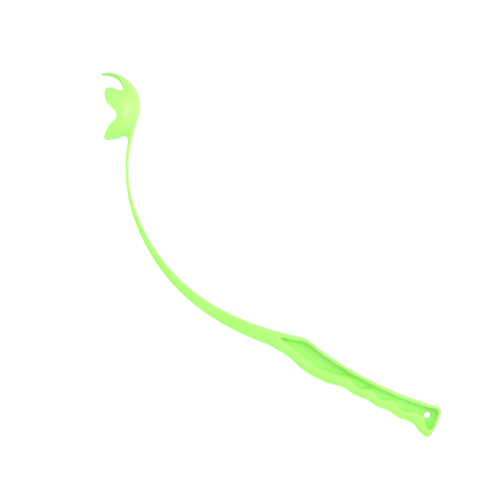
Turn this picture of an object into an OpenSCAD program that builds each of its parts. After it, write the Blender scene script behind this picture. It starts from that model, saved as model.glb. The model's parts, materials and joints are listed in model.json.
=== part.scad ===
// Dog ball launcher stick, moulded in one lime green plastic.
// A clawed cup holds the ball, a bowed blade carries the cup, and a pocketed handle carries the blade.
// The origin is the centre of the ball. +X runs along the handle, away from the cup. +Y is the side of
// the handle's spine. +Z is square to the plane of the throw, which is the plane z = 0.

/* [Ball] */
// Diameter of the ball that the cup holds
ball_d = 63.5; // [50:0.5:75]
// Gap between the ball and the inside of the cup
ball_clearance = 0.25; // [0:0.05:1]

/* [Cup] */
// Wall of the cup and its claws
cup_wall = 2.6; // [2:0.1:4]
// Turn of the mouth's axis away from the line of the handle
mouth_turn = 27; // [15:1:40]
// Reach of the top claw past the middle of the ball, towards the mouth
top_claw_reach = 6; // [2:0.5:10]
// Half width of the top claw where its round tip begins
top_claw_tip_w = 7; // [5:0.5:10]
// Half width of the top claw at its root
top_claw_root_w = 21; // [16:0.5:22]

/* [Blade] */
// Angle from the handle's line at which the blade touches the back of the cup
blade_angle = 5; // [-5:0.5:15]
// How far the blade stands out of the back of the cup
blade_proud = 0.2; // [0.1:0.05:1]
// Thickness of the blade where it leaves the cup
neck_t = 2.6; // [2.4:0.1:5]
// Width of the tongue that the blade ends in on the back of the cup
tongue_w = 9; // [6:0.5:12]
// Width of the blade where it leaves the cup
neck_w = 22; // [16:0.5:28]
// Distance along the blade at which it leaves the cup
neck_s = 21; // [16:0.5:26]
// How much the blade thickens under the cup, to fill the crease there
gusset_t = 10; // [0:0.5:11]
// Thickness of the blade at its thinnest, where it flexes
flex_t = 2.3; // [2:0.1:4]
// Width of the blade at its thinnest
flex_w = 13; // [11:0.5:22]
// Distance along the blade to its thinnest place
flex_s = 56; // [45:1:70]
// Radii of the three arcs of the blade, from the cup to the handle
blade_r = [135, 190, 280]; // [80:1:400]
// Turns of the three arcs, from the cup to the handle
blade_turn = [40.5, 42, 12]; // [5:0.5:60]
// How slowly the blade thickens at first
blade_taper = 1.12; // [0.8:0.02:1.6]
// Round on the edges of the blade
blade_edge_r = 1.2; // [0.5:0.1:1.3]

/* [Handle] */
// Width of the handle, across its two pockets
handle_w = 22; // [18:0.5:30]
// Depth of the handle where the blade runs into it
root_t = 15.4; // [12:0.2:18]
// Wall of the spine
spine_t = 3.4; // [3:0.1:6]
// Distance from the front of the handle to the top of the hump
hump_x = 33; // [28:1:38]
// Height of the hump at the front of the spine
hump_h = 14.8; // [12:0.2:18]
// Height of the spine at the saddle behind the hump
saddle_h = 7.7; // [6:0.2:10]
// Height of the spine at the butt
heel_h = 15.2; // [12:0.2:18]
// Depth of the front bulge that stops the hand
bulge_h = 15; // [13:0.2:18]
// Number of finger grooves
fingers = 4; // [3:1:5]
// Pitch of the finger grooves
finger_pitch = 24.6; // [20:0.2:28]
// Distance from the front of the handle to the first groove
first_groove_x = 90; // [86:1:100]
// Depth of the handle below its line, in a groove
groove_h = 11.3; // [9:0.1:13]
// Depth of a groove below the ridges beside it
groove_depth = 1.5; // [0.5:0.1:3]
// Thickness of the finger grip
grip_t = 11.3; // [9:0.1:12]
// How much more the pocket's edge waves than the grip
pocket_wave = 1.3; // [0:0.1:3]
// Distance from the front of the handle to the tip of the pocket
pocket_x = 8.2; // [6:0.2:14]
// Height of the tip of the pocket
pocket_tip_y = 3.8; // [3:0.2:5]
// Round of the tip of the pocket
pocket_tip_r = 1.2; // [0.6:0.1:2]
// Thickness of the web between the two pockets
web_t = 9; // [3:0.1:12]
// Round on the outer edges of the handle
handle_edge_r = 2.1; // [1:0.1:3]
// Round on the lips of the pockets
lip_r = 0.7; // [0.3:0.1:1]
// Round on the lips of the pockets along the fingers
grip_lip_r = 4; // [1:0.1:5]

/* [Butt] */
// Distance from the last groove to the front of the recess round the hang hole
recess_gap = 8; // [6:0.5:12]
// Width of the recess along the handle
recess_w = 14.6; // [13:0.2:18]
// How much further back the recess starts at the grip than at the spine
recess_slant = 1; // [0.5:0.5:2]
// Height at which the recess meets the grip
recess_step = 1; // [0:0.2:2]
// Depth of the foot of the recess below the handle's line
recess_foot = 9.6; // [7:0.2:11]
// Diameter of the hang hole
hang_d = 7; // [4:0.5:7.5]
// Distance of the hang hole's middle from the front of the recess
hang_x = 5.6; // [5.4:0.1:7]
// Height of the hang hole's middle
hang_y = 2.5; // [2:0.1:4]
// Wall of the end of the handle
end_wall = 3.6; // [3.2:0.1:6]
// Depth of the tip of the butt hook
hook_h = 17.4; // [15:0.2:20]
// How far the end of the butt bulges
end_bulge = 1.8; // [0.5:0.1:4]
// Round on the corners of the butt, seen from the side
butt_corner_r = 3.2; // [3:0.1:5]

/* [Hidden] */
$fn = 96;
lime = [0.60, 0.98, 0.36];
floor_lime = [0.52, 0.92, 0.28];

seat_r = ball_d / 2 + ball_clearance;
cup_r = seat_r + cup_wall;
curve_steps = 5;
edge_steps = 4;
corner_steps = 4;

// The mouth, seen square to the plane of the throw, in cup radii. X points to the back of the cup
// and Y to the top claw. The side claw runs from the upper notch to the lower one, then the lip follows.
side_claw_line = [[0.52, 0.44], [0.45, 0.405], [0.24, 0.468], [0.10, 0.485], [0.025, 0.37],
    [0.03, 0.19], [0.11, 0.02], [0.30, -0.18], [0.365, -0.31]];
lip_line = [[0.365, -0.31], [0.31, -0.42], [0.12, -0.64], [-0.015, -0.85], [-0.05, -0.95], [0.02, -1.03]];
upper_notch = cup_r * side_claw_line[0];
lower_notch = cup_r * lip_line[0];
top_root_angle = atan2(upper_notch.y, upper_notch.x);
// How the sides of the top claw flare towards its root
top_claw_flare = 1.6;
// The top claw thins from this angle to its tip, on a cylinder that is smaller than the cup by this much
top_claw_thin = [60, 0.16 * cup_r];
// How far the prisms that cut the cup reach, in cup radii
cut_reach = 1.2;

arc_count = len(blade_r);
blade_len = [for (k = [0 : arc_count - 1]) blade_r[k] * blade_turn[k] * PI / 180];
blade_end_s = blade_len[0] + blade_len[1] + blade_len[2];
// Over this length the sections of the blade turn square to the handle
square_up = 0.68 * blade_len[2];
neck_step = 2.8;
blade_step = 4.5;
// The gusset starts to fade at this share of the way to the neck, over this share of it
gusset_fade = [0.72, 0.42];
// The blade is widest at this share of the way to the neck
neck_widest = 0.8;

handle_half = handle_w / 2;
// The round on the outer edges leaves the spine some flat
edge_r = min(handle_edge_r, spine_t * 0.62);
last_groove_x = first_groove_x + (fingers - 1) * finger_pitch;
recess_x = last_groove_x + recess_gap;
butt_x = recess_x + recess_w + end_wall;
saddle_x = hump_x + (butt_x - hump_x) * 0.468;
// The heel's slope, which the spine runs into
heel_lean = 9.5;
heel = [butt_x - end_bulge - butt_corner_r, heel_h - butt_corner_r];
heel_end = heel + butt_corner_r * [cos(90 + heel_lean), sin(90 + heel_lean)];
grip_end_x = recess_x + recess_slant;
rail_step = 3;
butt_step = 2;

// Distances along a rail that ends at an x, closer together round the tip of the pocket
tip_steps = [0, 0.13, 0.5, 1];
function rail_line(end) =
    let (n = ceil(end / rail_step), line = [for (i = [0 : n]) end * i / n])
    concat(
        [for (x = line) if (x < pocket_x - rail_step / 3) x],
        [for (f = tip_steps) pocket_x + pocket_tip_r * f],
        [for (x = line) if (x > pocket_x + pocket_tip_r + rail_step / 3) x]);
spine_x = rail_line(recess_x);
grip_x = rail_line(grip_end_x);

// Curves through points

// Slope of a run of [x, y] stations at station i
function slope_at(st, i) =
    let (a = st[max(i - 1, 0)], b = st[min(i + 1, len(st) - 1)]) (b.y - a.y) / (b.x - a.x);

// Which pair of stations x lies between
function span_of(st, x, i = 0) =
    (i >= len(st) - 2 || x < st[i + 1].x) ? i : span_of(st, x, i + 1);

// Smooth height at x through a run of [x, y] stations
function smooth_at(st, x) =
    let (
        i = span_of(st, x),
        a = st[i],
        b = st[i + 1],
        w = b.x - a.x,
        f = min(max((x - a.x) / w, 0), 1),
        rise = 3 * f * f - 2 * f * f * f,
        lead = f * (1 - f) * (1 - f),
        tail = f * f * (f - 1)
    )
    a.y + (b.y - a.y) * rise + w * (slope_at(st, i) * lead + slope_at(st, i + 1) * tail);

// Smooth plane curve through points
function curve_point(p, i, f) =
    let (
        a = p[max(i - 1, 0)],
        b = p[i],
        c = p[i + 1],
        d = p[min(i + 2, len(p) - 1)]
    )
    b + f / 2 * (c - a) + f * f / 2 * (2 * a - 5 * b + 4 * c - d) + f * f * f / 2 * (3 * b - 3 * c + d - a);

function curve(p) = concat(
    [for (i = [0 : len(p) - 2]) for (j = [0 : curve_steps - 1]) curve_point(p, i, j / curve_steps)],
    [p[len(p) - 1]]);

function arc(c, r, from, to, n) = [for (i = [0 : n]) let (a = from + (to - from) * i / n)
    c + r * [cos(a), sin(a)]];

function reversed(p) = [for (i = [len(p) - 1 : -1 : 0]) p[i]];
function ease(f) = let (g = min(max(f, 0), 1)) g * g * (3 - 2 * g);

// The blade's middle line

function left_of(h) = [-sin(h), cos(h)];

// Place and heading at distance s along the arcs, as [x, y, heading]
function along(s, p, h, k = 0) =
    (s <= blade_len[k] || k == arc_count - 1)
        ? let (a = s / blade_r[k] * 180 / PI, q = p + blade_r[k] * (left_of(h) - left_of(h + a)))
            [q.x, q.y, h + a]
        : along(s - blade_len[k], p + blade_r[k] * (left_of(h) - left_of(h + blade_turn[k])),
            h + blade_turn[k], k + 1);

blade_start = (cup_r + blade_proud - neck_t / 2) * [cos(blade_angle), sin(blade_angle)];
function blade_at(s) = along(s, blade_start, blade_angle - 90);
handle_at = blade_at(blade_end_s);

function blade_thickness(s) = s <= flex_s
    ? smooth_at([[0, neck_t], [neck_s, neck_t], [flex_s, flex_t], [flex_s + 1, flex_t]], s)
    : flex_t + (root_t - flex_t) * pow((s - flex_s) / (blade_end_s - flex_s), blade_taper);
function blade_width(s) = s <= flex_s
    ? smooth_at([[0, tongue_w], [neck_s * neck_widest, neck_w], [flex_s, flex_w], [flex_s + 1, flex_w]], s)
    : flex_w + (handle_w - flex_w) * ease((s - flex_s) / (blade_end_s - flex_s));
// The gusset thickens only the face of the blade that is towards the ball
function gusset_at(s) = gusset_t * (1 - ease((s / neck_s - gusset_fade[0]) / gusset_fade[1]));
function blade_round(s) =
    blade_edge_r + (edge_r - blade_edge_r) * ease((s - flex_s) / (blade_end_s - flex_s));

// Rounded rectangle of a section, as [across, z] points
function section(t, w, r) = [
    for (c = [0 : 3])
        let (
            sy = (c == 0 || c == 3) ? 1 : -1,
            sz = c < 2 ? 1 : -1
        )
        for (j = [0 : corner_steps])
            let (a = 90 * c + 90 * j / corner_steps)
            [sy * (t / 2 - r) + r * cos(a), sz * (w / 2 - r) + r * sin(a)]];

// One ring of the blade in space
function blade_ring(s) =
    let (
        b = blade_at(s),
        lean = b[2] * (1 - ease((s - blade_end_s + square_up) / square_up)),
        n = left_of(lean),
        extra = gusset_at(s),
        t = blade_thickness(s) + extra,
        mid = [b.x, b.y] - n * extra / 2
    )
    [for (q = section(t, blade_width(s), min(blade_round(s), t * 0.45)))
        [mid.x + n.x * q.x, mid.y + n.y * q.x, q.y]];

// Solid through a run of rings, each going round the same way, with faces that fill a ring
module loft(rings, filling) {
    m = len(rings[0]);
    last = len(rings) - 1;
    polyhedron(
        points = [for (r = rings) each r],
        faces = concat(
            filling,
            [for (face = filling) [for (i = reversed(face)) last * m + i]],
            [for (k = [0 : last - 1]) for (i = [0 : m - 1])
                [k * m + i, (k + 1) * m + i, k * m + (i + 1) % m]],
            [for (k = [0 : last - 1]) for (i = [0 : m - 1])
                [k * m + (i + 1) % m, (k + 1) * m + i, (k + 1) * m + (i + 1) % m]]));
}

// Length of the blade between two distances along it, drawn in steps
module blade(from, to, step) {
    n = ceil((to - from) / step);
    rings = [for (i = [0 : n]) blade_ring(from + (to - from) * i / n)];
    loft(rings, [[for (i = [0 : len(rings[0]) - 1]) i]]);
}

// Cup and claws

module cup_frame() {
    rotate(mouth_turn) children();
}

module cup_shell() {
    difference() {
        sphere(cup_r);
        sphere(seat_r);
    }
}

// Prism square to the plane of the throw, past both sides of the cup
module side_prism(outline) {
    linear_extrude(2 * cut_reach * cup_r, center = true) polygon(outline);
}

module ball_cup() {
    far = cut_reach * cup_r;
    lip = cup_r * curve(concat([side_claw_line[7]], lip_line));
    below_notch = [for (p = lip) if (p.y <= lower_notch.y) p];
    color(lime) {
        cup_frame() intersection() {
            cup_shell();
            side_prism(concat(
                [upper_notch],
                below_notch,
                [[below_notch[len(below_notch) - 1].x, -far], [far, -far]],
                [[far, far * tan(top_root_angle)]]));
        }
        difference() {
            blade(0, flex_s, neck_step);
            sphere(seat_r + cup_wall / 2);
        }
    }
}

function top_claw_half(x) = top_claw_tip_w
    + (top_claw_root_w - top_claw_tip_w) * pow(max(x, 0) / upper_notch.x, top_claw_flare);

// The top claw's outline seen from above, as [x, z] points
function top_claw_edge() = concat(
    [for (a = [90 : -15 : 0]) [-top_claw_reach * sin(a), top_claw_tip_w * cos(a)]],
    [for (i = [1 : 8]) let (x = cup_r * i / 8) [x, top_claw_half(x)]]);

module top_claw() {
    edge = top_claw_edge();
    color(lime) cup_frame() intersection() {
        cup_shell();
        rotate([90, 0, 0]) translate([0, 0, -cut_reach * cup_r]) linear_extrude(cut_reach * cup_r)
            polygon(concat(edge, [for (p = reversed(edge)) if (p.y > 0) [p.x, -p.y]]));
        rotate(top_root_angle) translate([-1, 0, -1] * cut_reach * cup_r)
            cube([2, 1, 2] * cut_reach * cup_r);
        rotate(top_claw_thin[0]) union() {
            translate([top_claw_thin[1], 0, 0])
                cylinder(h = 2 * cut_reach * cup_r, r = cup_r - top_claw_thin[1], center = true);
            translate([-1, -2, -1] * cut_reach * cup_r) cube([2, 2, 2] * cut_reach * cup_r);
        }
    }
}

// Side claw on the side of +Z (1) or -Z (-1)
module side_claw(side) {
    line = cup_r * curve(concat(side_claw_line, [lip_line[1]]));
    above_notch = [for (p = line) if (p.y >= lower_notch.y) p];
    color(lime) cup_frame() intersection() {
        cup_shell();
        side_prism(above_notch);
        translate([-1, -1, side > 0 ? 0 : -1] * cut_reach * cup_r)
            cube([2, 2, 1] * cut_reach * cup_r);
    }
}

module side_claw_left() {
    side_claw(1);
}

module side_claw_right() {
    side_claw(-1);
}

module shaft() {
    color(lime) blade(flex_s, blade_end_s, blade_step);
}

// Handle

// Heights along the handle are stations measured from the end of the blade's middle line.
// Behind the hump, as [distance behind it over its own distance, share of the drop that is left]
hump_line = [[0.6, 0.55], [1.36, 0.16]];
// Before the heel, as [share of the way from the saddle to the butt, share of the rise]
heel_line = [[0.44, 0.2], [0.71, 0.58]];
top_stations = concat(
    [[0, root_t / 2], [hump_x * 0.4, root_t / 2 + (hump_h - root_t / 2) * 0.4], [hump_x, hump_h]],
    [for (q = hump_line) [hump_x * (1 + q.x), saddle_h + (hump_h - saddle_h) * q.y]],
    [[saddle_x, saddle_h]],
    [for (q = heel_line) [saddle_x + (butt_x - saddle_x) * q.x, saddle_h + (heel_h - saddle_h) * q.y]],
    [heel_end]);
function top_y(x) = smooth_at(top_stations, x);

ridge_h = groove_h + groove_depth;
groove_stations = [for (i = [0 : 2 * (fingers - 1)])
    [first_groove_x + finger_pitch * i / 2, i % 2 == 0 ? -groove_h : -ridge_h]];
// The front bulge, as [share of the way to the first groove, share of its depth]
bulge_line = [[0.122, 0.527], [0.256, 0.593], [0.344, 0.71], [0.444, 0.89], [0.533, 0.98], [0.667, 1],
    [0.789, 0.985], [0.878, 0.87]];
// The underside of the hook, as [share of the recess's width from its front, share of its depth]
hook_line = [[-0.15, 0.695], [0.37, 0.9], [0.78, 1]];
bottom_stations = concat(
    [[0, -root_t / 2]],
    [for (q = bulge_line) [first_groove_x * q.x, -bulge_h * q.y]],
    groove_stations,
    [for (q = hook_line) [recess_x + recess_w * q.x, -hook_h * q.y]]);
function bottom_y(x) = smooth_at(bottom_stations, x);

// The pocket's upper edge follows the spine, which is thicker in front of the hump
function spine_wall(x) = smooth_at(
    [[pocket_x, top_y(pocket_x) - pocket_tip_y - pocket_tip_r], [hump_x * 0.6, spine_t * 1.35],
        [hump_x, spine_t], [hump_x * 1.6, spine_t], [butt_x, spine_t]], x);
// The edges close on the tip of the pocket in a half circle
function tip_share(x) = let (u = 1 - min((x - pocket_x) / pocket_tip_r, 1)) sqrt(1 - u * u);
function seam_y(x) = pocket_tip_y * ease(x / pocket_x);
function pocket_top(x) = x <= pocket_x
    ? seam_y(x)
    : pocket_tip_y + (top_y(x) - spine_wall(x) - pocket_tip_y) * tip_share(x);

// The pocket's lower edge waves with the fingers
function pocket_wave_at(i) = grip_t + (i % 2 == 0 ? pocket_wave / 2 : -pocket_wave / 2);
// The front of it, as [share of the way to the first groove, share of the bulge that it clears]
pocket_front = [[0.222, 0.433], [0.311, 0.307], [0.456, 0.18], [0.6, 0.047], [0.8, 0.073]];
// The waves lie a little ahead of the grooves, by this share of their pitch
pocket_lead = 0.04;
pocket_stations = concat(
    [[pocket_x, pocket_tip_y - pocket_tip_r]],
    [for (q = pocket_front) [first_groove_x * q.x, grip_t - bulge_h * (1 - q.y)]],
    [for (i = [0 : len(groove_stations) - 1])
        [groove_stations[i].x - finger_pitch * pocket_lead, groove_stations[i].y + pocket_wave_at(i)]],
    [[grip_end_x, recess_step]]);
function pocket_bottom(x) = x <= pocket_x
    ? seam_y(x)
    : pocket_tip_y + (smooth_at(pocket_stations, x) - pocket_tip_y) * tip_share(x);

// Round of an edge at height z: how far the edge draws in
function draw_in(z, r) = let (d = abs(z) - handle_half + r) d <= 0 ? 0 : r - sqrt(max(r * r - d * d, 0));

// The levels across the handle at which its sections are drawn
half_levels = concat(
    [for (f = grip_lip_r > edge_r ? [1, 0.45] : []) handle_half - edge_r - (grip_lip_r - edge_r) * f],
    [for (j = [0 : edge_steps]) handle_half - edge_r * (1 - sin(90 * j / edge_steps))]);
levels = concat([for (z = reversed(half_levels)) -z], half_levels);

// Direction into the material at point i of an edge, upright next to both ends
function inward(edge, i) =
    let (
        last = len(edge) - 1,
        d = edge[min(i + 1, last)] - edge[max(i - 1, 0)],
        n = [-d.y, d.x] / norm(d)
    )
    (i <= 1 || i >= last - 1) ? [0, sign(n.y)] : n;

// The lips start at the tip of the pocket. Along the fingers they are rounder, and fade out at the recess.
function spine_lip(x) = lip_r * ease((x - pocket_x) / edge_r);
function grip_lip(x) =
    (spine_lip(x) + (grip_lip_r - lip_r) * ease((x - pocket_x) / (first_groove_x / 3)))
    * (1 - ease((x - last_groove_x) / (grip_end_x - last_groove_x)));
function recess_lip(p) = lip_r * ease(norm(p - [grip_end_x, recess_step]) / (recess_w / 4));

// One level of a rail: its outer edge, then its inner edge, with the round of its lip at each point
function rail_ring(outer, inner, lips, z) = concat(
    [for (i = [0 : len(outer) - 1])
        let (p = outer[i] + draw_in(z, edge_r) * inward(outer, i)) [p.x, p.y, z]],
    [for (i = [0 : len(inner) - 1])
        let (p = inner[i] + draw_in(z, lips[i]) * inward(inner, i)) [p.x, p.y, z]]);

// Triangles that fill a ring between its outer edge, from point a up to outer_end, and its inner edge,
// from point b down to the next one. Each step takes the shorter of the two ways across.
function strip(ring, a, b, outer_end) =
    let (
        outer_left = a < outer_end,
        inner_left = b > outer_end + 1,
        by_outer = outer_left ? norm(ring[a + 1] - ring[b]) : 0,
        by_inner = inner_left ? norm(ring[a] - ring[b - 1]) : 0
    )
    !outer_left && !inner_left ? [] :
    outer_left && (!inner_left || by_outer <= by_inner)
        ? concat([[a, a + 1, b]], strip(ring, a + 1, b, outer_end))
        : concat([[a, b - 1, b]], strip(ring, a, b - 1, outer_end));

// Rail between an outer and an inner edge, listed so that together they run anticlockwise
module rail(outer, inner, lips) {
    rings = [for (z = levels) rail_ring(outer, inner, lips, z)];
    loft(rings, strip(rings[0], 0, len(rings[0]) - 1, len(outer) - 1));
}

module handle_frame() {
    translate([handle_at.x, handle_at.y, 0]) children();
}

module handle_spine() {
    color(lime) handle_frame() rail(
        [for (x = reversed(spine_x)) [x, top_y(x)]],
        [for (x = spine_x) [x, pocket_top(x)]],
        [for (x = spine_x) spine_lip(x)]);
}

module finger_grip() {
    color(lime) handle_frame() rail(
        [for (x = grip_x) [x, bottom_y(x)]],
        [for (x = reversed(grip_x)) [x, pocket_bottom(x)]],
        [for (x = reversed(grip_x)) grip_lip(x)]);
}

// Outer edge of the butt: under the hook, round its tip, up the end and back along the spine
hook_tip = [butt_x - end_bulge / 2 - butt_corner_r, -hook_h + butt_corner_r];
butt_edge = concat(
    [for (x = [grip_end_x : butt_step : hook_tip.x - butt_step]) [x, bottom_y(x)]],
    arc(hook_tip, butt_corner_r, -100, 0, 6),
    [[butt_x - end_bulge * 0.2, -hook_h * 0.62], [butt_x, -hook_h * 0.4], [butt_x, 0],
        [butt_x - end_bulge * 0.4, heel_h * 0.4]],
    arc(heel, butt_corner_r, 5, 90 + heel_lean, 5),
    [for (x = [heel.x - butt_step : -butt_step : recess_x + butt_step / 4]) [x, top_y(x)]],
    [[recess_x, top_y(recess_x)]]);

// The far side and foot of the recess, as [share of its width from the far end, share of its foot]
recess_line = [[0.043, 0.5], [0, -0.3], [0.02, -0.75], [0.13, -0.98], [0.3, -0.95], [0.45, -0.74],
    [0.66, -0.4], [0.82, -0.11]];
recess_end = recess_x + recess_w;
recess_corner_x = recess_end - recess_w * 0.42;
// Inner edge of the butt, round the recess from the spine to the grip
recess_edge = curve(concat(
    [[recess_x, pocket_top(recess_x)], [recess_corner_x, pocket_top(recess_corner_x) + recess_w * 0.03],
        [recess_end - recess_w * 0.14, pocket_top(recess_corner_x) - recess_w * 0.04]],
    [for (q = recess_line) [recess_end - recess_w * q.x, recess_foot * q.y]],
    [[grip_end_x, recess_step]]));

// Floor of the pockets and of the recess, with the hang hole through it
module handle_web() {
    color(floor_lime) handle_frame() difference() {
        linear_extrude(web_t, center = true)
            polygon(concat(
                [for (x = grip_x) if (x >= pocket_x && x < grip_end_x) [x, pocket_bottom(x)]],
                reversed(recess_edge),
                [for (x = reversed(spine_x)) if (x > pocket_x && x < recess_x) [x, pocket_top(x)]]));
        translate([recess_x + hang_x, hang_y, 0]) cylinder(h = 2 * web_t, d = hang_d, center = true);
    }
}

module butt_loop() {
    color(lime) handle_frame() rail(butt_edge, recess_edge, [for (p = recess_edge) recess_lip(p)]);
}

ball_cup();
top_claw();
side_claw_left();
side_claw_right();
shaft();
handle_spine();
handle_web();
finger_grip();
butt_loop();
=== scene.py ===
"""Dresses the dog ball launcher stick: one lime green moulding that bends at its blade and its claws.

The stick is drawn as two unbroken skins over the frame's solids, one for the head and one for the blade and
the handle, with the soft rounds of a moulding. The skins are then parted into pieces that keep their normals,
so that no seam shows.
"""

import json
import logging
import math
from dataclasses import dataclass, field
from enum import Enum
from typing import Any, Callable, Iterable

import bmesh
import bpy
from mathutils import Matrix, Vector


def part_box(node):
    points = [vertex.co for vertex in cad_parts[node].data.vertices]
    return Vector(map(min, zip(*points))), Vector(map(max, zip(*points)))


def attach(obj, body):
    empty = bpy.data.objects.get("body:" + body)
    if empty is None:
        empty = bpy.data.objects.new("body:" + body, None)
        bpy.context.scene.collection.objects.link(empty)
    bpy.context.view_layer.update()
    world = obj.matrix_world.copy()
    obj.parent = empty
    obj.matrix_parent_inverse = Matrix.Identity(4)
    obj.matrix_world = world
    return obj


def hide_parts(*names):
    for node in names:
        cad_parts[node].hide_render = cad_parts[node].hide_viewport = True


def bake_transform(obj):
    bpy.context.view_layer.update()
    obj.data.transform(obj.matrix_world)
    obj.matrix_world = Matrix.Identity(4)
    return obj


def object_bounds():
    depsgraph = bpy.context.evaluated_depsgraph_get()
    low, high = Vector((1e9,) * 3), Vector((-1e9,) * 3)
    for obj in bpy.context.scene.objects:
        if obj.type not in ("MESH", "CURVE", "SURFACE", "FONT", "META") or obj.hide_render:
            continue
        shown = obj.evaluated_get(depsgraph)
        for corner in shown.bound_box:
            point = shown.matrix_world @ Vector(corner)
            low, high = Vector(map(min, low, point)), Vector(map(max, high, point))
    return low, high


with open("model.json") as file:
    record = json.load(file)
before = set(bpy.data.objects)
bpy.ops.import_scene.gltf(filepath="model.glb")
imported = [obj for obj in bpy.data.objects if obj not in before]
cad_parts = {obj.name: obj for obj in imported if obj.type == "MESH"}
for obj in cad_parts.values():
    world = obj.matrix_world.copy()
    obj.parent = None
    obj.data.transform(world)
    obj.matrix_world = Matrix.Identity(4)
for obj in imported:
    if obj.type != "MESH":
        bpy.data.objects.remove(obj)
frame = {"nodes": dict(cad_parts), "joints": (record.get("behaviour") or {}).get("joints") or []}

LOG = logging.getLogger("ball_launcher")
MM = 0.001
CAD_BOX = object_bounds()
SKIN_NORMAL = "skin_normal"
EDGE_WEAR = "edge_wear"
CAP = "cap"
# vertices closer to a plane than this count as on it
ON_PLANE = 1e-4 * MM

Holds = Callable[[Vector], bool]


class Body(str, Enum):
    """The bodies of the frame that pieces ride on."""

    HANDLE = "handle"
    HEAD = "head"
    TOP_CLAW = "top_claw"
    SIDE_CLAW_LEFT = "side_claw_left"
    SIDE_CLAW_RIGHT = "side_claw_right"


def linear(hex_colour: str) -> tuple[float, float, float, float]:
    """Turns an sRGB hex colour to linear light.

    Args:
        hex_colour: six hex digits, with a leading hash.

    Returns:
        Linear red, green and blue, and an alpha of 1.
    """
    shares = [int(hex_colour[i:i + 2], 16) / 255 for i in (1, 3, 5)]
    red, green, blue = (s / 12.92 if s <= 0.04045 else ((s + 0.055) / 1.055) ** 2.4 for s in shares)
    return red, green, blue, 1.0


def add_node(tree: bpy.types.NodeTree, kind: str, settings: dict[str, Any] | None = None,
             inputs: dict[str | int, Any] | None = None) -> bpy.types.Node:
    """Adds a node with its settings, input values and links.

    Args:
        tree: the tree that takes the node.
        kind: the node's type name.
        settings: values of the node's own properties.
        inputs: a plain value, or an output socket to link from, for each named input.

    Returns:
        The new node.
    """
    node = tree.nodes.new(kind)
    for name, value in (settings or {}).items():
        setattr(node, name, value)
    for name, value in (inputs or {}).items():
        if isinstance(value, bpy.types.NodeSocket):
            tree.links.new(value, node.inputs[name])
        else:
            node.inputs[name].default_value = value
    return node


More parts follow.
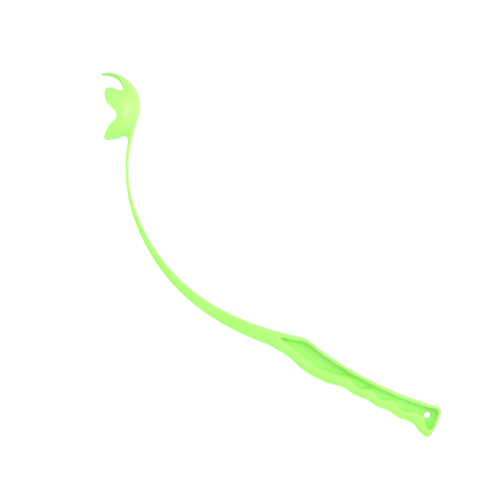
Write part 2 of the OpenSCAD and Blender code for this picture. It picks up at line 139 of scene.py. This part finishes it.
@dataclass(frozen=True)
class LimePolypropylene:
    """Polypropylene, injection moulded in a polished mould with a fine spark-eroded grain.

    It gives the eye a bright, slightly milky lime with broad soft highlights, a faint mottle in them
    from the grain, slow drifts of tone where the melt flowed, and a fine parting line round the middle.
    """

    colour: str = "#AFFA79"
    drift_colour: str = "#A9F66F"
    scuff_colour: str = "#CDF8A8"
    roughness: float = 0.34
    grain_roughness: float = 0.06
    ior: float = 1.49
    milkiness: float = 0.18
    milk_depth: float = 2.5 * MM
    # how far red, green and blue light travel in the plastic, as shares of that depth
    milk_reach: tuple[float, float, float] = (0.6, 1.0, 0.3)
    # spark-eroded grain is about 0.1 mm, too fine to show here, so it is drawn at 0.9 mm
    grain_size: float = 0.9 * MM
    grain_height: float = 0.012 * MM
    grain_harshness: float = 0.6
    flow_size: float = 38 * MM
    flow_harshness: float = 0.45
    noise_detail: float = 2.0
    # the tone drifts between these levels of the flow's noise
    drift_levels: tuple[float, float] = (0.35, 0.7)
    most_scuffed: float = 0.5
    # the flash at the parting line is about 0.1 mm wide, and is drawn at 0.5 mm
    parting_width: float = 0.5 * MM
    parting_height: float = 0.05 * MM

    def material(self) -> bpy.types.Material:
        """Makes the material.

        Returns:
            A node material that reads Object coordinates and the skin's own marks of wear.
        """
        material = bpy.data.materials.new("Lime polypropylene, moulded")
        material.use_nodes = True
        tree = material.node_tree
        tree.nodes.clear()
        place = add_node(tree, "ShaderNodeTexCoord").outputs["Object"]
        flow = add_node(tree, "ShaderNodeTexNoise", inputs={
            "Vector": place, "Scale": 1 / self.flow_size, "Detail": self.noise_detail,
            "Roughness": self.flow_harshness}).outputs["Fac"]
        grain = add_node(tree, "ShaderNodeTexNoise", inputs={
            "Vector": place, "Scale": 1 / self.grain_size, "Detail": self.noise_detail,
            "Roughness": self.grain_harshness}).outputs["Fac"]
        drift_from, drift_to = self.drift_levels
        drift = add_node(tree, "ShaderNodeMapRange", inputs={
            "Value": flow, "From Min": drift_from, "From Max": drift_to}).outputs["Result"]
        body = add_node(tree, "ShaderNodeMix", {"data_type": "RGBA"}, {
            "Factor": drift, 6: linear(self.colour), 7: linear(self.drift_colour)}).outputs[2]
        scuff = self._scuffs(tree, grain)
        colour = add_node(tree, "ShaderNodeMix", {"data_type": "RGBA"}, {
            "Factor": scuff, 6: body, 7: linear(self.scuff_colour)}).outputs[2]
        roughness = add_node(tree, "ShaderNodeMapRange", inputs={
            "Value": grain, "To Min": self.roughness - self.grain_roughness,
            "To Max": self.roughness + self.grain_roughness}).outputs["Result"]
        shader = add_node(tree, "ShaderNodeBsdfPrincipled", inputs={
            "Base Color": colour, "Roughness": roughness, "IOR": self.ior,
            "Subsurface Weight": self.milkiness, "Subsurface Radius": self.milk_reach,
            "Subsurface Scale": self.milk_depth, "Normal": self._relief(tree, place, grain)})
        add_node(tree, "ShaderNodeOutputMaterial", inputs={"Surface": shader.outputs["BSDF"]})
        return material

    def _scuffs(self, tree: bpy.types.NodeTree, grain: bpy.types.NodeSocket) -> bpy.types.NodeSocket:
        """Marks where handling has paled the outer edges.

        Args:
            tree: the material's tree.
            grain: the grain's noise, which breaks the marks up.

        Returns:
            A socket that is higher the more the plastic is scuffed.
        """
        wear = add_node(tree, "ShaderNodeAttribute", {"attribute_name": EDGE_WEAR}).outputs["Fac"]
        edge = add_node(tree, "ShaderNodeMapRange", inputs={
            "Value": wear, "To Max": self.most_scuffed}).outputs["Result"]
        return add_node(tree, "ShaderNodeMath", {"operation": "MULTIPLY"}, {0: edge, 1: grain}).outputs[0]

    def _relief(self, tree: bpy.types.NodeTree, place: bpy.types.NodeSocket,
                grain: bpy.types.NodeSocket) -> bpy.types.NodeSocket:
        """Raises the grain and the parting line, which lies in the plane z = 0.

        Args:
            tree: the material's tree.
            place: Object coordinates.
            grain: the grain's noise.

        Returns:
            The bent normal.
        """
        height = add_node(tree, "ShaderNodeSeparateXYZ", inputs={"Vector": place}).outputs["Z"]
        off_line = add_node(tree, "ShaderNodeMath", {"operation": "ABSOLUTE"}, {0: height}).outputs[0]
        line = add_node(tree, "ShaderNodeMapRange", {"interpolation_type": "SMOOTHSTEP"}, {
            "Value": off_line, "From Max": self.parting_width / 2,
            "To Min": 1.0, "To Max": 0.0}).outputs["Result"]
        fine = add_node(tree, "ShaderNodeBump", inputs={
            "Strength": 1.0, "Distance": self.grain_height, "Height": grain}).outputs["Normal"]
        return add_node(tree, "ShaderNodeBump", inputs={
            "Strength": 1.0, "Distance": self.parting_height, "Height": line,
            "Normal": fine}).outputs["Normal"]


@dataclass(frozen=True)
class WhiteSweep:
    """Matt white paper, lit to white for the camera, that still takes the stick's soft shadow."""

    paper: str = "#F8F8F8"
    glow: float = 0.84
    shadow_share: float = 0.22

    def material(self) -> bpy.types.Material:
        """Makes the material.

        Returns:
            A node material whose camera and mirror rays see white.
        """
        material = bpy.data.materials.new("White paper sweep")
        material.use_nodes = True
        tree = material.node_tree
        tree.nodes.clear()
        plain = add_node(tree, "ShaderNodeBsdfDiffuse", inputs={"Color": linear(self.paper)})
        share = (self.shadow_share,) * 3 + (1.0,)
        shaded = add_node(tree, "ShaderNodeBsdfDiffuse", inputs={"Color": share})
        glow = add_node(tree, "ShaderNodeEmission", inputs={"Strength": self.glow})
        seen = add_node(tree, "ShaderNodeAddShader", inputs={0: shaded.outputs[0], 1: glow.outputs[0]})
        mixed = add_node(tree, "ShaderNodeMixShader", inputs={
            0: seen_directly(tree), 1: plain.outputs[0], 2: seen.outputs[0]})
        add_node(tree, "ShaderNodeOutputMaterial", inputs={"Surface": mixed.outputs[0]})
        return material


def seen_directly(tree: bpy.types.NodeTree) -> bpy.types.NodeSocket:
    """Tells rays that show a thing, directly or in a mirror, from rays that light one.

    Args:
        tree: the tree of a stage material or of the world.

    Returns:
        A socket that is 1 for camera, glossy and transmission rays.
    """
    path = add_node(tree, "ShaderNodeLightPath").outputs
    mirror = add_node(tree, "ShaderNodeMath", {"operation": "MAXIMUM"}, {
        0: path["Is Glossy Ray"], 1: path["Is Transmission Ray"]}).outputs[0]
    return add_node(tree, "ShaderNodeMath", {"operation": "MAXIMUM"}, {
        0: path["Is Camera Ray"], 1: mirror}).outputs[0]


@dataclass(frozen=True)
class Hinge:
    """A hinge of the frame, at rest."""

    place: Vector
    axis: Vector

    @classmethod
    def named(cls, name: str) -> "Hinge":
        """Finds a hinge of the frame by its name."""
        joint = next(j for j in frame["joints"] if j["name"] == name)
        return cls(Vector(joint["pos_m"]), Vector(joint["axis"]).normalized())


@dataclass(frozen=True)
class Cut:
    """A plane that the skin is parted along."""

    place: Vector
    normal: Vector

    def height(self, point: Vector) -> float:
        """How far a point lies in front of the plane."""
        return (point - self.place).dot(self.normal)


class Stroke(Enum):
    """How one pass moves a vertex, in shares of the way to the middle of its neighbours."""

    # rounds edges and corners
    ROUND = (0.5,)
    # takes out ripples and gives the form back what it lost
    IRON = (0.5, -0.53)


def smooth(skin: bmesh.types.BMesh, verts: Iterable[bmesh.types.BMVert], passes: int,
           stroke: Stroke = Stroke.ROUND) -> None:
    """Smooths some of a skin's vertices.

    Args:
        skin: the mesh that holds them.
        verts: the vertices.
        passes: how often they are moved.
        stroke: how each pass moves them.
    """
    chosen = list(verts)
    for factor in stroke.value * passes:
        bmesh.ops.smooth_vert(skin, verts=chosen, factor=factor,
                              use_axis_x=True, use_axis_y=True, use_axis_z=True)


def ease(share: float) -> float:
    """Turns a share from 0 to 1 into one that starts and stops softly."""
    held = min(max(share, 0.0), 1.0)
    return held * held * (3 - 2 * held)


@dataclass
class Moulding:
    """Some of the frame's solids under one skin, with the rounds that the mould's corners give it."""

    nodes: tuple[str, ...]
    voxel: float
    passes: int
    iron_passes: int
    same_point: float = 0.001 * MM
    # edges that are blunter than the first radius aren't worn, and from the second on they are worn fully
    blunt: float = 4.0 * MM
    sharp: float = 1.2 * MM
    wear_passes: int = 3

    def build(self) -> bmesh.types.BMesh:
        """Draws one skin over the solids, rounds and shapes it, and keeps its normals.

        Returns:
            A mesh of small quads, all of it closed and smooth.
        """
        skin = self._one_skin()
        smooth(skin, skin.verts, self.iron_passes, Stroke.IRON)
        smooth(skin, skin.verts, self.passes)
        self.shape(skin)
        skin.normal_update()
        self._wear(skin)
        normals = skin.verts.layers.float_vector.new(SKIN_NORMAL)
        for vert in skin.verts:
            vert[normals] = vert.normal
        for face in skin.faces:
            face.smooth = True
        LOG.info("skin over %d solids: %d faces", len(self.nodes), len(skin.faces))
        return skin

    def shape(self, skin: bmesh.types.BMesh) -> None:
        """Gives the skin the forms of its own part of the stick."""
        raise NotImplementedError

    def _wear(self, skin: bmesh.types.BMesh) -> None:
        """Marks the outer edges and corners, where handling pales the plastic.

        Args:
            skin: the shaped skin, which gets a layer of marks from 0 to 1.
        """
        wear = skin.verts.layers.float.new(EDGE_WEAR)
        around = [[edge.other_vert(vert) for edge in vert.link_edges] for vert in skin.verts]
        for vert, others in zip(skin.verts, around):
            middle = sum((other.co for other in others), Vector()) / len(others)
            # on a round bar the middle of four neighbours lies in by a quarter of edge squared over radius
            vert[wear] = 4 * (vert.co - middle).dot(vert.normal) / self.voxel ** 2
        for _ in range(self.wear_passes):
            spread = [sum(other[wear] for other in others) / len(others) for others in around]
            for vert, value in zip(skin.verts, spread):
                vert[wear] = value
        for vert in skin.verts:
            vert[wear] = ease((vert[wear] - 1 / self.blunt) / (1 / self.sharp - 1 / self.blunt))

    def _one_skin(self) -> bmesh.types.BMesh:
        """Joins copies of the solids and draws an even skin over them.

        Returns:
            The skin, before it is rounded.
        """
        joined = bmesh.new()
        for name in self.nodes:
            count = len(joined.verts)
            joined.from_mesh(frame["nodes"][name].data)
            joined.verts.ensure_lookup_table()
            bmesh.ops.remove_doubles(joined, verts=joined.verts[count:], dist=self.same_point)
        mesh = bpy.data.meshes.new("solids")
        joined.to_mesh(mesh)
        joined.free()
        solids = bpy.data.objects.new("solids", mesh)
        bpy.context.scene.collection.objects.link(solids)
        remesh = solids.modifiers.new("even skin", "REMESH")
        remesh.mode = "VOXEL"
        remesh.voxel_size = self.voxel
        evaluated = solids.evaluated_get(bpy.context.evaluated_depsgraph_get())
        skin = bmesh.new()
        skin.from_mesh(evaluated.data)
        bpy.data.objects.remove(solids)
        bpy.data.meshes.remove(mesh)
        return skin


@dataclass
class HeadMoulding(Moulding):
    """The skin of the cup, its claws and the neck of the blade, with true spheres inside and outside."""

    nodes: tuple[str, ...] = ("ball_cup", "top_claw", "side_claw_left", "side_claw_right")
    voxel: float = 0.42 * MM
    passes: int = 7
    iron_passes: int = 24
    # radii of the cup, and how far off them, and how far from square to them, the skin is still trued up
    seat_radius: float = 32.0 * MM
    cup_radius: float = 34.6 * MM
    true_within: float = 0.25 * MM
    true_square: float = 0.985
    # how steeply the trueing fades in from those borders
    true_fade: float = 3.0
    # passes that round the rims, and that even out what the first trueing left
    rim_passes: int = 8
    even_passes: int = 2

    def shape(self, skin: bmesh.types.BMesh) -> None:
        """Trues up the cup, rounds its rims and the claws' edges, and trues it up again.

        Args:
            skin: the rounded skin.
        """
        self._true_up(skin)
        skin.normal_update()
        smooth(skin, [v for v in skin.verts if self._square(v) < self.true_square], self.rim_passes)
        smooth(skin, skin.verts, self.even_passes)
        self._true_up(skin)

    @staticmethod
    def _square(vert: bmesh.types.BMVert) -> float:
        """How nearly the skin lies square to the way from the ball's centre, up to 1."""
        return abs(vert.normal.dot(vert.co)) / vert.co.length

    def _true_up(self, skin: bmesh.types.BMesh) -> None:
        """Moves the cup's inner and outer faces onto their true spheres, less and less towards their edges.

        Args:
            skin: the rounded skin.
        """
        skin.normal_update()
        for vert in skin.verts:
            reach = vert.co.length
            share = (self._square(vert) - self.true_square) / (1 - self.true_square)
            if share < 0:
                continue
            for radius in (self.seat_radius, self.cup_radius):
                off = abs(reach - radius) / self.true_within
                if off < 1:
                    fade = min(1.0, self.true_fade * share) * min(1.0, self.true_fade * (1 - off))
                    vert.co *= 1 + fade * (radius / reach - 1)


@dataclass(frozen=True)
class Wave:
    """A row of scallops along the foot of the pockets' walls, and how softly the walls slope there."""

    start: float
    pitch: float
    count: int
    depth: float
    # how many rings of the skin round the walls are eased into a scoop, how many of them on the pocket's
    # floor, and how often
    rings: int
    floor_rings: int
    passes: int

    def at(self, x: float) -> float:
        """How far the scallops draw the foot of a wall out at a distance along the handle."""
        run = (x - self.start) / self.pitch
        return self.depth * math.sin(math.pi * run) ** 2 if 0 < run < self.count else 0.0


@dataclass
class StickMoulding(Moulding):
    """The skin of the blade and the handle, with scalloped pockets that slope up softly to the fingers."""

    nodes: tuple[str, ...] = ("ball_cup", "shaft", "handle_spine", "handle_web", "finger_grip", "butt_loop")
    voxel: float = 0.65 * MM
    passes: int = 4
    iron_passes: int = 8
    # the handle begins here along the stick, and is rounded more than the blade
    handle_from: float = 180 * MM
    handle_passes: int = 7
    # the pockets' corners stay crisp up to this height over the web
    crisp_foot: float = 1.3 * MM
    # one scallop over the front bulge, then one over each ridge between two fingers
    waves: tuple[Wave, ...] = (
        Wave(start=265.0 * MM, pitch=80.6 * MM, count=1, depth=0.8 * MM, rings=6, floor_rings=1, passes=80),
        Wave(start=345.6 * MM, pitch=24.6 * MM, count=3, depth=2.6 * MM, rings=3, floor_rings=3, passes=45),
    )
    # the scallops fade out on the floor of the pockets and on the rim over these widths
    floor_fade: float = 5 * MM
    rim_fade: float = 1.5 * MM
    # how high over the web the skin still counts as the floor of a pocket
    floor_skin: float = 0.3 * MM
    # the foot and the lip of the walls are found in slices of this length
    slice: float = 1.0 * MM
    # a wall along the fingers faces the spine by at least this much, and begins at this share of the web's
    # half thickness
    wall_facing: float = 0.2
    wall_from: float = 0.9

    def shape(self, skin: bmesh.types.BMesh) -> None:
        """Rounds the handle's rims, and shapes the pockets' walls along the fingers.

        Args:
            skin: the rounded skin.
        """
        crisp = self.web_top + self.crisp_foot
        rims = [v for v in skin.verts if v.co.x > self.handle_from and abs(v.co.z) > crisp]
        smooth(skin, rims, self.handle_passes)
        skin.normal_update()
        wall = self._grip_walls(skin)
        self._scallop(skin, wall)
        self._scoop(skin, wall)

    @property
    def web_top(self) -> float:
        """The height of the pockets' floor over the plane z = 0."""
        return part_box("handle_web")[1].z

    def _grip_walls(self, skin: bmesh.types.BMesh) -> set[bmesh.types.BMVert]:
        """Finds the pockets' walls along the fingers, from the web up to the rim.

        Args:
            skin: the rounded skin.

        Returns:
            The vertices of the walls of both pockets.
        """
        web_low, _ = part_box("handle_web")
        _, grip_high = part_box("finger_grip")
        butt_low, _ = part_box("butt_loop")
        lowest = self.wall_from * self.web_top
        return {v for v in skin.verts if v.normal.y > self.wall_facing and web_low.x < v.co.x < butt_low.x
                and v.co.y < grip_high.y and abs(v.co.z) > lowest}

    def _scallop(self, skin: bmesh.types.BMesh, wall: set[bmesh.types.BMVert]) -> None:
        """Draws the foot of the walls out between the fingers, which leaves the rim where it is.

        Args:
            skin: the rounded skin.
            wall: the vertices of the walls.
        """
        lowest = self.wall_from * self.web_top
        foot: dict[int, float] = {}
        lip: dict[int, float] = {}
        for vert in wall:
            place = round(vert.co.x / self.slice)
            foot[place] = max(foot.get(place, vert.co.y), vert.co.y)
            lip[place] = min(lip.get(place, vert.co.y), vert.co.y)
        for vert in skin.verts:
            place = round(vert.co.x / self.slice)
            if place not in foot or abs(vert.co.z) < lowest:
                continue
            above_foot = vert.co.y - foot[place]
            if above_foot > 0:
                share = 1 - above_foot / self.floor_fade
            else:
                share = 1 + above_foot / (foot[place] - lip[place] + self.rim_fade)
            vert.co.y -= ease(share) * sum(wave.at(vert.co.x) for wave in self.waves)

    def _scoop(self, skin: bmesh.types.BMesh, wall: set[bmesh.types.BMVert]) -> None:
        """Eases the walls into soft scoops.

        Args:
            skin: the scalloped skin.
            wall: the vertices of the walls.
        """
        faces_grip = {v for v in skin.verts if v.normal.y < -self.wall_facing}
        floor_top = self.web_top + self.floor_skin
        floor = {v for v in skin.verts if abs(v.co.z) < floor_top}
        ends = [wave.start for wave in self.waves[1:]] + [CAD_BOX[1].x]
        for wave, end in zip(self.waves, ends):
            scoop = {v for v in wall if wave.start < v.co.x < end}
            for ring in range(wave.rings):
                grown = {e.other_vert(v) for v in scoop for e in v.link_edges} - faces_grip
                scoop |= grown if ring < wave.floor_rings else grown - floor
            smooth(skin, scoop, wave.passes)


def score(skin: bmesh.types.BMesh, cut: Cut, near: float, within: Holds) -> None:
    """Splits the skin's faces along a plane.

    Args:
        skin: the mesh to split.
        cut: the plane.
        near: how close a face's middle lies to the plane for the face to be split.
        within: tells whether a face's middle is in the part of the skin to split.
    """
    faces = []
    for face in skin.faces:
        middle = face.calc_center_median()
        if abs(cut.height(middle)) < near and within(middle):
            faces.append(face)
    edges = list({e for f in faces for e in f.edges})
    verts = list({v for f in faces for v in f.verts})
    bmesh.ops.bisect_plane(skin, geom=verts + edges + faces, dist=ON_PLANE,
                           plane_co=cut.place, plane_no=cut.normal)


def part_off(skin: bmesh.types.BMesh, holds: Holds) -> bmesh.types.BMesh:
    """Copies a part of the skin and closes it where it left the rest.

    Args:
        skin: the mesh to copy from, which is left as it is.
        holds: tells whether a face's middle is in the part.

    Returns:
        The part, as a closed mesh.
    """
    part = skin.copy()
    is_cap = part.faces.layers.int.new(CAP)
    others = [f for f in part.faces if not holds(f.calc_center_median())]
    bmesh.ops.delete(part, geom=others, context="FACES")
    rim = [e for e in part.edges if e.is_boundary]
    for edge in rim:
        edge.smooth = False
    caps = bmesh.ops.holes_fill(part, edges=rim, sides=0)["faces"]
    for face in bmesh.ops.triangulate(part, faces=caps)["faces"]:
        face[is_cap] = 1
    # triangles along the rim, because a quad split later could double an edge of the cap
    along_rim = {face for edge in rim for vert in edge.verts for face in vert.link_faces if not face[is_cap]}
    bmesh.ops.triangulate(part, faces=list(along_rim))
    bmesh.ops.recalc_face_normals(part, faces=part.faces)
    return part


def shade_as_one(data: bpy.types.Mesh) -> None:
    """Gives a piece the whole skin's normals, so that no line shows where it was parted off.

    Args:
        data: the piece's mesh, which holds those normals and marks the faces that close it.
    """
    kept = [Vector(row.vector).normalized() for row in data.attributes[SKIN_NORMAL].data]
    caps = [row.value for row in data.attributes[CAP].data]
    ways = []
    for face in data.polygons:
        ways.extend(face.normal.copy() if caps[face.index] else kept[vert] for vert in face.vertices)
    data.normals_split_custom_set(ways)
    for name in (SKIN_NORMAL, CAP):
        data.attributes.remove(data.attributes[name])


def place_piece(name: str, mesh: bmesh.types.BMesh, material: bpy.types.Material,
                nodes: Iterable[str]) -> bpy.types.Object:
    """Makes an object that stands for some of the frame's nodes.

    Args:
        name: the piece's name.
        mesh: its shape, which is freed.
        material: its finish.
        nodes: the nodes that it stands for.

    Returns:
        The object, at the origin.
    """
    data = bpy.data.meshes.new(name)
    mesh.to_mesh(data)
    mesh.free()
    shade_as_one(data)
    data.materials.append(material)
    piece = bpy.data.objects.new(name, data)
    bpy.context.scene.collection.objects.link(piece)
    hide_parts(*nodes)
    LOG.info("%s: %d faces", name, len(data.polygons))
    return piece


@dataclass
class Blade:
    """The bowed blade, parted from the cup's neck and from the handle well away from where it bends."""

    skin: bmesh.types.BMesh
    material: bpy.types.Material
    # the blade's turn from the handle's line where it bends
    heading: float = math.radians(-61.2)
    # how far from the hinge the blade is parted from the neck and from the handle
    neck_reach: float = 24 * MM
    handle_reach: float = 62 * MM
    # how far to each side of the hinge the blade bends
    bend_half: float = 22 * MM
    # faces this close to a cut are split along it
    split_near: float = 4 * MM
    hinge: Hinge = field(default_factory=lambda: Hinge.named("shaft_flex"))

    @property
    def along(self) -> Vector:
        """The blade's own direction at its thinnest place, towards the handle."""
        return Vector((math.cos(self.heading), math.sin(self.heading), 0.0))

    @property
    def neck_cut(self) -> Cut:
        """The plane between the cup's neck and the blade."""
        return Cut(self.hinge.place - self.neck_reach * self.along, self.along)

    @property
    def handle_cut(self) -> Cut:
        """The plane between the blade and the handle."""
        return Cut(self.hinge.place + self.handle_reach * self.along, self.along)

    def score_ends(self) -> None:
        """Splits the skin at both ends of the blade."""
        for cut in (self.neck_cut, self.handle_cut):
            score(self.skin, cut, self.split_near, lambda middle: True)

    def build(self) -> bpy.types.Object:
        """Parts the blade off.

        Returns:
            The blade.
        """
        neck, root = self.neck_cut, self.handle_cut
        mesh = part_off(self.skin, lambda p: neck.height(p) > 0 > root.height(p))
        piece = place_piece("bowed_blade", mesh, self.material, ["shaft"])
        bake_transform(piece)
        return piece


@dataclass
class Handle:
    """The pocketed handle with its finger grooves, butt hook and hang hole."""

    skin: bmesh.types.BMesh
    material: bpy.types.Material
    root_cut: Cut

    def build(self) -> bpy.types.Object:
        """Parts the handle off.

        Returns:
            The handle.
        """
        mesh = part_off(self.skin, lambda p: self.root_cut.height(p) > 0)
        nodes = ["handle_spine", "handle_web", "finger_grip", "butt_loop"]
        piece = place_piece("pocketed_handle", mesh, self.material, nodes)
        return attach(piece, Body.HANDLE)


@dataclass
class BallHead:
    """The cup and its three claws, parted at the claws' roots, past which the claws bend."""

    skin: bmesh.types.BMesh
    material: bpy.types.Material
    neck_cut: Cut
    # faces this close to the neck's cut and to a claw's border are split along it
    neck_split_near: float = 4 * MM
    root_split_near: float = 3 * MM
    # how far past its root a claw's bend ends
    bend_past: float = 7 * MM
    # half the width of the top claw's piece, out to the notches beside it
    top_half_width: float = 22.5 * MM
    # how far a side claw's root runs below and above its hinge
    side_below: float = 14.2 * MM
    side_above: float = 14.0 * MM
    top_hinge: Hinge = field(default_factory=lambda: Hinge.named("top_claw_flex"))
    side_hinge: Hinge = field(default_factory=lambda: Hinge.named("side_claw_left_flex"))

    @property
    def top_root(self) -> Cut:
        """The plane of the top claw's root, which holds the ball's centre."""
        out = self.top_hinge.place.normalized()
        return Cut(self.top_hinge.place, Vector((-out.y, out.x, 0.0)))

    @property
    def side_run(self) -> Vector:
        """The way along the side claws' roots, towards the top claw."""
        return Vector((self.side_hinge.axis.x, self.side_hinge.axis.y, 0.0)).normalized()

    @property
    def side_root(self) -> Cut:
        """The plane of both side claws' roots, facing the mouth."""
        return Cut(self.side_hinge.place, Vector((-self.side_run.y, self.side_run.x, 0.0)))

    def in_top(self, point: Vector) -> bool:
        """Tells whether a point belongs to the top claw's piece."""
        return self.top_root.height(point) > 0 and abs(point.z) < self.top_half_width

    def in_side(self, point: Vector) -> bool:
        """Tells whether a point belongs to either side claw's piece.

        Args:
            point: the middle of a face.

        Returns:
            True in front of the claws' roots and between their ends.
        """
        run = (point - self.side_hinge.place).dot(self.side_run)
        in_front = self.side_root.height(point) > 0
        return in_front and -self.side_below < run < self.side_above and not self.in_top(point)

    def in_cup(self, point: Vector) -> bool:
        """Tells whether a point belongs to the cup and the neck of the blade."""
        return self.neck_cut.height(point) < 0 and not self.in_top(point) and not self.in_side(point)

    def score_roots(self) -> None:
        """Splits the skin along the borders of the claws' pieces."""
        near = self.root_split_near
        upright = Vector((0.0, 0.0, 1.0))
        top, side = self.top_root, self.side_root
        below = Cut(self.side_hinge.place - self.side_below * self.side_run, self.side_run)
        above = Cut(self.side_hinge.place + self.side_above * self.side_run, self.side_run)
        score(self.skin, top, near, lambda p: abs(p.z) < self.top_half_width + near)
        for z in (-self.top_half_width, self.top_half_width):
            score(self.skin, Cut(Vector((0.0, 0.0, z)), upright), near, lambda p: top.height(p) > -2 * near)
        score(self.skin, side, near, lambda p: below.height(p) > -near and above.height(p) < near)
        for end in (below, above):
            score(self.skin, end, near, lambda p: side.height(p) > -near)

    def build(self) -> list[bpy.types.Object]:
        """Parts off the cup and the claws.

        Returns:
            The cup, the top claw and the two side claws.
        """
        self.score_roots()
        score(self.skin, self.neck_cut, self.neck_split_near, lambda middle: True)
        cup = part_off(self.skin, self.in_cup)
        cup_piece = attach(place_piece("ball_cup_bowl", cup, self.material, ["ball_cup"]), Body.HEAD)
        top = place_piece("top_claw_hook", part_off(self.skin, self.in_top), self.material, ["top_claw"])
        self._bend(top)
        left = part_off(self.skin, lambda p: p.z > 0 and self.in_side(p))
        right = part_off(self.skin, lambda p: p.z < 0 and self.in_side(p))
        left_piece = place_piece("side_claw_left_ear", left, self.material, ["side_claw_left"])
        right_piece = place_piece("side_claw_right_ear", right, self.material, ["side_claw_right"])
        self._bend(left_piece)
        self._bend(right_piece)
        return [cup_piece, top, left_piece, right_piece]

    def _bend(self, piece: bpy.types.Object) -> None:
        """Bakes a claw's piece's placement into its mesh."""
        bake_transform(piece)


@dataclass(frozen=True)
class PhotoView:
    """The photograph's viewpoint: square to the plane of the throw, from a good way off."""

    mm_per_pixel: float = 1.018
    frame_pixels: int = 500
    # the centre of the ball in the photograph, and the turn of the handle's line in it
    ball_pixel: tuple[float, float] = (106.65, 106.35)
    handle_turn: float = math.radians(27.26)
    distance: float = 1.8
    sensor: float = 36.0
    far_clip: float = 20.0

    @property
    def right(self) -> Vector:
        """The photograph's rightward direction in the frame."""
        return Vector((math.cos(self.handle_turn), math.sin(self.handle_turn), 0.0))

    @property
    def up(self) -> Vector:
        """The photograph's upward direction in the frame."""
        return Vector((-math.sin(self.handle_turn), math.cos(self.handle_turn), 0.0))

    @property
    def centre(self) -> Vector:
        """Finds the point of the plane z = 0 at the middle of the photograph.

        Returns:
            The point, in the frame.
        """
        half = self.frame_pixels / 2
        across, down = (half - p for p in self.ball_pixel)
        return (across * self.right - down * self.up) * self.mm_per_pixel * MM

    def build(self) -> bpy.types.Object:
        """Makes the camera and gives it to the scene.

        Returns:
            The camera.
        """
        data = bpy.data.cameras.new("photo_camera")
        data.sensor_width = self.sensor
        data.lens = self.sensor * self.distance / (self.frame_pixels * self.mm_per_pixel * MM)
        data.clip_end = self.far_clip
        camera = bpy.data.objects.new("photo_camera", data)
        camera.location = self.centre + Vector((0.0, 0.0, self.distance))
        camera.rotation_euler = (0.0, 0.0, self.handle_turn)
        bpy.context.scene.collection.objects.link(camera)
        bpy.context.scene.camera = camera
        return camera


@dataclass(frozen=True)
class SoftLamp:
    """A large soft lamp that is turned to the middle of the photograph."""

    name: str
    power: float
    # its size along the stick's plane, and out of it
    size: tuple[float, float]
    # the way to the lamp: to the photograph's right, up it, and out of it
    way: tuple[float, float, float]
    distance: float = 1.5

    def build(self, view: PhotoView) -> None:
        """Hangs the lamp.

        Args:
            view: the photograph's viewpoint.
        """
        right, up, out = self.way
        way = (right * view.right + up * view.up + Vector((0.0, 0.0, out))).normalized()
        data = bpy.data.lights.new(self.name, "AREA")
        data.energy = self.power
        data.shape = "RECTANGLE"
        data.size, data.size_y = self.size
        lamp = bpy.data.objects.new(self.name, data)
        lamp.location = view.centre + self.distance * way
        lamp.rotation_euler = (-way).to_track_quat("-Z", "Y").to_euler()
        bpy.context.scene.collection.objects.link(lamp)


@dataclass
class Studio:
    """A light tent: a white sweep under the stick, soft light from all round, and three large soft lamps."""

    view: PhotoView
    floor_half: float = 4.0
    floor_gap: float = 0.3 * MM
    sky: float = 0.80
    lamps: tuple[SoftLamp, ...] = (
        SoftLamp("side_lamp", power=12.5, size=(1.3, 0.45), way=(0.95, -0.10, 0.28)),
        SoftLamp("top_lamp", power=4.6, size=(0.9, 0.9), way=(0.23, 0.45, 0.86)),
        SoftLamp("low_lamp", power=3.0, size=(0.8, 0.8), way=(-0.35, -0.92, 0.12)),
    )

    def build(self) -> None:
        """Makes the floor, the world and the lamps, and sets plain colours."""
        self._floor()
        self._world()
        for lamp in self.lamps:
            lamp.build(self.view)
        bpy.context.scene.view_settings.view_transform = "Standard"

    def _floor(self) -> None:
        """Lays the sweep level under the side of the cup, so that it hides nothing from either end."""
        low, _ = CAD_BOX
        mesh = bmesh.new()
        bmesh.ops.create_grid(mesh, x_segments=1, y_segments=1, size=self.floor_half)
        bmesh.ops.translate(mesh, vec=(0.0, 0.0, low.z - self.floor_gap), verts=mesh.verts)
        data = bpy.data.meshes.new("sweep")
        mesh.to_mesh(data)
        mesh.free()
        data.materials.append(WhiteSweep().material())
        floor = bpy.data.objects.new("sweep", data)
        bpy.context.scene.collection.objects.link(floor)

    def _world(self) -> None:
        """Lights the stick softly from all round, before a white background."""
        world = bpy.data.worlds.new("white room")
        world.use_nodes = True
        tree = world.node_tree
        tree.nodes.clear()
        strength = add_node(tree, "ShaderNodeMapRange", inputs={
            "Value": seen_directly(tree), "To Min": self.sky, "To Max": 1.0}).outputs["Result"]
        room = add_node(tree, "ShaderNodeBackground", inputs={
            "Color": (1.0, 1.0, 1.0, 1.0), "Strength": strength})
        add_node(tree, "ShaderNodeOutputWorld", inputs={"Surface": room.outputs[0]})
        bpy.context.scene.world = world


def main() -> None:
    """Draws the two skins, parts them into their pieces, and sets the scene."""
    logging.basicConfig(level=logging.INFO, format="%(name)s: %(message)s")
    plastic = LimePolypropylene().material()
    stick = StickMoulding().build()
    blade = Blade(stick, plastic)
    blade.score_ends()
    blade.build()
    Handle(stick, plastic, blade.handle_cut).build()
    stick.free()
    head = HeadMoulding().build()
    BallHead(head, plastic, blade.neck_cut).build()
    head.free()
    view = PhotoView()
    view.build()
    Studio(view).build()


if __name__ == "__main__":
    main()
